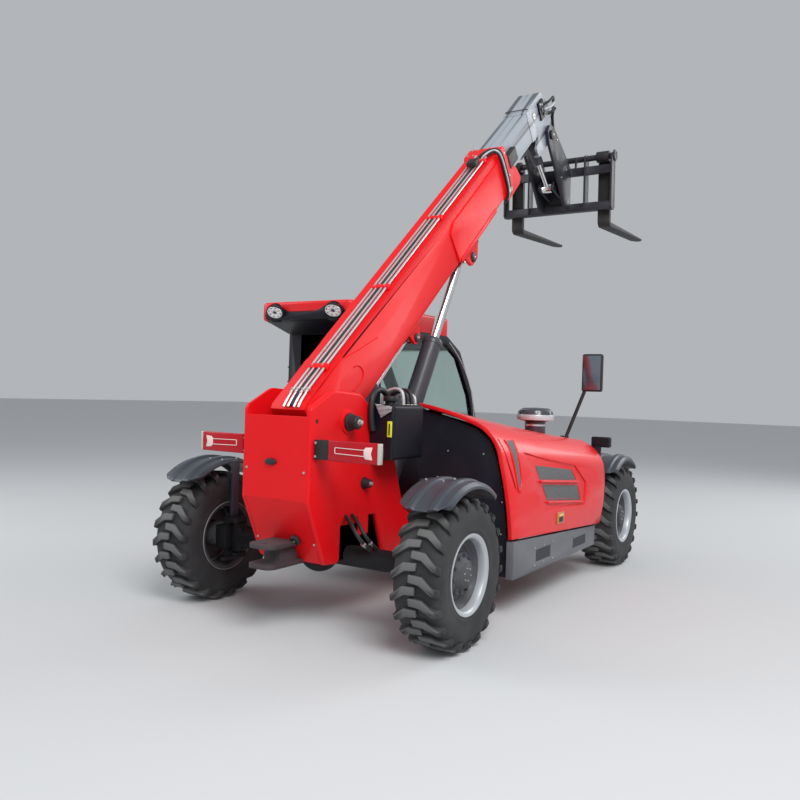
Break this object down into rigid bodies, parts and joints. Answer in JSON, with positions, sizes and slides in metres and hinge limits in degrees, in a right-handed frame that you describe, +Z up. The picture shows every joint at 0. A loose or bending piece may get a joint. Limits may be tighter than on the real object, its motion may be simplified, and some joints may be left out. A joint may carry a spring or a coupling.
{
  "type": "telehandler",
  "caption": "Compact telescopic handler with offset cab and engine hood, two-stage boom, pallet forks on a tilting carriage and four steered wheels.",
  "frame": {"origin": "ground under the middle of the overall length and width, boom raised as parked", "axes": "+X forward to the fork tips, +Y to the cab side, +Z up"},
  "size_m": [5.5946, 2.07, 4.1706],
  "materials": {
    "red_paint": "gloss red paint",
    "black_paint": "satin black paint",
    "boom_grey": "satin grey paint",
    "skirt_grey": "satin dark grey paint",
    "axle_grey": "satin dark grey paint",
    "rim_silver": "silver paint",
    "tyre_rubber": "matt tread rubber",
    "dark_plastic": "textured plastic",
    "lamp_red": "moulded lamp",
    "window_glass": "tinted glass",
    "seat_cover": "woven cover",
    "engine_cast": "cast",
    "pipe_steel": "bright steel pipe"
  },
  "bodies": {
    "chassis": {"chassis_frame": "red_paint", "axles": "axle_grey", "tow_hitch": "black_paint", "hood_frame": "black_paint", "side_skirts": "skirt_grey", "engine_block": "engine_cast", "rear_tank": "black_paint", "tail_lamps": "lamp_red", "cab_shell": "black_paint", "cab_roof": "red_paint", "cab_glass": "window_glass", "seat": "seat_cover", "steering_column": "dark_plastic"},
    "hood": {"hood_lid": "red_paint", "precleaner": "dark_plastic", "mirror": "dark_plastic"},
    "door": {"cab_door": "black_paint", "door_glass": "window_glass"},
    "boom": {"boom_outer": "red_paint", "boom_pipes": "pipe_steel"},
    "inner_boom": {"boom_inner": "boom_grey"},
    "fork_carriage": {"carriage": "black_paint", "forks": "black_paint"},
    "lift_cylinder_barrel": {"lift_barrel": "black_paint"},
    "lift_cylinder_rod": {"lift_rod": "pipe_steel"},
    "comp_cylinder_barrel": {"comp_barrel": "black_paint"},
    "comp_cylinder_rod": {"comp_rod": "pipe_steel"},
    "tilt_cylinder_barrel": {"tilt_barrel": "black_paint"},
    "tilt_cylinder_rod": {"tilt_rod": "pipe_steel"},
    "steer_front_left": {"knuckle_front_left": "axle_grey", "fender_front_left": "dark_plastic"},
    "wheel_front_left": {"tyre_front_left": "tyre_rubber", "rim_front_left": "rim_silver"},
    "steer_front_right": {"knuckle_front_right": "axle_grey", "fender_front_right": "dark_plastic"},
    "wheel_front_right": {"tyre_front_right": "tyre_rubber", "rim_front_right": "rim_silver"},
    "steer_rear_left": {"knuckle_rear_left": "axle_grey", "fender_rear_left": "dark_plastic"},
    "wheel_rear_left": {"tyre_rear_left": "tyre_rubber", "rim_rear_left": "rim_silver"},
    "steer_rear_right": {"knuckle_rear_right": "axle_grey", "fender_rear_right": "dark_plastic"},
    "wheel_rear_right": {"tyre_rear_right": "tyre_rubber", "rim_rear_right": "rim_silver"}
  },
  "joints": [
    {"name": "boom_lift", "type": "hinge", "parent": "chassis", "child": "boom", "pos_m": [-2.3373, 0, 1.205], "axis": [0, -1, 0], "range_deg": [-41.2, 14]},
    {"name": "boom_extend", "type": "slide", "parent": "boom", "child": "inner_boom", "axis": [0.7524, 0, 0.6587], "range_m": [-0.48, 1.5]},
    {"name": "carriage_tilt", "type": "hinge", "parent": "inner_boom", "child": "fork_carriage", "pos_m": [0.90427, 0, 3.83327], "axis": [0, 1, 0], "range_deg": [-45, 55]},
    {"name": "lift_barrel_swing", "type": "hinge", "parent": "chassis", "child": "lift_cylinder_barrel", "pos_m": [-1.6248, 0, 0.56], "axis": [0, -1, 0], "range_deg": [-42.61, 15.14]},
    {"name": "lift_rod_stroke", "type": "slide", "parent": "lift_cylinder_barrel", "child": "lift_cylinder_rod", "axis": [0.4888, 0, 0.8724], "range_m": [-0.6644, 0.2324]},
    {"name": "comp_barrel_swing", "type": "hinge", "parent": "chassis", "child": "comp_cylinder_barrel", "pos_m": [-2.1773, 0, 0.985], "axis": [0, -1, 0], "range_deg": [-43.44, 15.42]},
    {"name": "comp_rod_stroke", "type": "slide", "parent": "comp_cylinder_barrel", "child": "comp_cylinder_rod", "axis": [0.7362, 0, 0.6768], "range_m": [-0.197, 0.0735]},
    {"name": "tilt_barrel_swing", "type": "hinge", "parent": "inner_boom", "child": "tilt_cylinder_barrel", "pos_m": [0.5543, 0, 3.89904], "axis": [0, 1, 0], "range_deg": [-28.9, 35.1]},
    {"name": "tilt_rod_stroke", "type": "slide", "parent": "tilt_cylinder_barrel", "child": "tilt_cylinder_rod", "axis": [0.8086, 0, -0.5883], "range_m": [-0.1636, 0.1357]},
    {"name": "steer_front_left", "type": "hinge", "parent": "chassis", "child": "steer_front_left", "pos_m": [0.6287, 0.668, 0.4155], "axis": [0, 0, 1], "range_deg": [-35, 35]},
    {"name": "spin_front_left", "type": "hinge", "parent": "steer_front_left", "child": "wheel_front_left", "pos_m": [0.6287, 0.887, 0.4155], "axis": [0, 1, 0], "continuous": true},
    {"name": "steer_front_right", "type": "hinge", "parent": "chassis", "child": "steer_front_right", "pos_m": [0.6287, -0.668, 0.4155], "axis": [0, 0, 1], "range_deg": [-35.5, 35.5]},
    {"name": "spin_front_right", "type": "hinge", "parent": "steer_front_right", "child": "wheel_front_right", "pos_m": [0.6287, -0.887, 0.4155], "axis": [0, 1, 0], "continuous": true},
    {"name": "steer_rear_left", "type": "hinge", "parent": "chassis", "child": "steer_rear_left", "pos_m": [-2.2373, 0.668, 0.4155], "axis": [0, 0, 1], "range_deg": [-35, 35]},
    {"name": "spin_rear_left", "type": "hinge", "parent": "steer_rear_left", "child": "wheel_rear_left", "pos_m": [-2.2373, 0.887, 0.4155], "axis": [0, 1, 0], "continuous": true},
    {"name": "steer_rear_right", "type": "hinge", "parent": "chassis", "child": "steer_rear_right", "pos_m": [-2.2373, -0.668, 0.4155], "axis": [0, 0, 1], "range_deg": [-35.5, 35.5]},
    {"name": "spin_rear_right", "type": "hinge", "parent": "steer_rear_right", "child": "wheel_rear_right", "pos_m": [-2.2373, -0.887, 0.4155], "axis": [0, 1, 0], "continuous": true},
    {"name": "door_swing", "type": "hinge", "parent": "chassis", "child": "door", "pos_m": [-1.3473, 1.003, 1.14], "axis": [0, 0, 1], "range_deg": [0, 85]},
    {"name": "hood_open", "type": "hinge", "parent": "chassis", "child": "hood", "pos_m": [-1.5473, -0.258, 1.299], "axis": [-0.9891, 0, 0.1474], "range_deg": [0, 50]}
  ],
  "couplings": [
    {"joint": "lift_barrel_swing", "follows": "boom_lift", "ratio": 1.01},
    {"joint": "lift_rod_stroke", "follows": "boom_lift", "m_per_rad": 0.91},
    {"joint": "comp_barrel_swing", "follows": "boom_lift", "ratio": 1.03},
    {"joint": "comp_rod_stroke", "follows": "boom_lift", "m_per_rad": 0.26},
    {"joint": "tilt_barrel_swing", "follows": "carriage_tilt", "ratio": 0.62},
    {"joint": "tilt_rod_stroke", "follows": "carriage_tilt", "m_per_rad": -0.16},
    {"joint": "steer_front_right", "follows": "steer_front_left", "ratio": 1},
    {"joint": "steer_rear_right", "follows": "steer_rear_left", "ratio": 1}
  ]
}
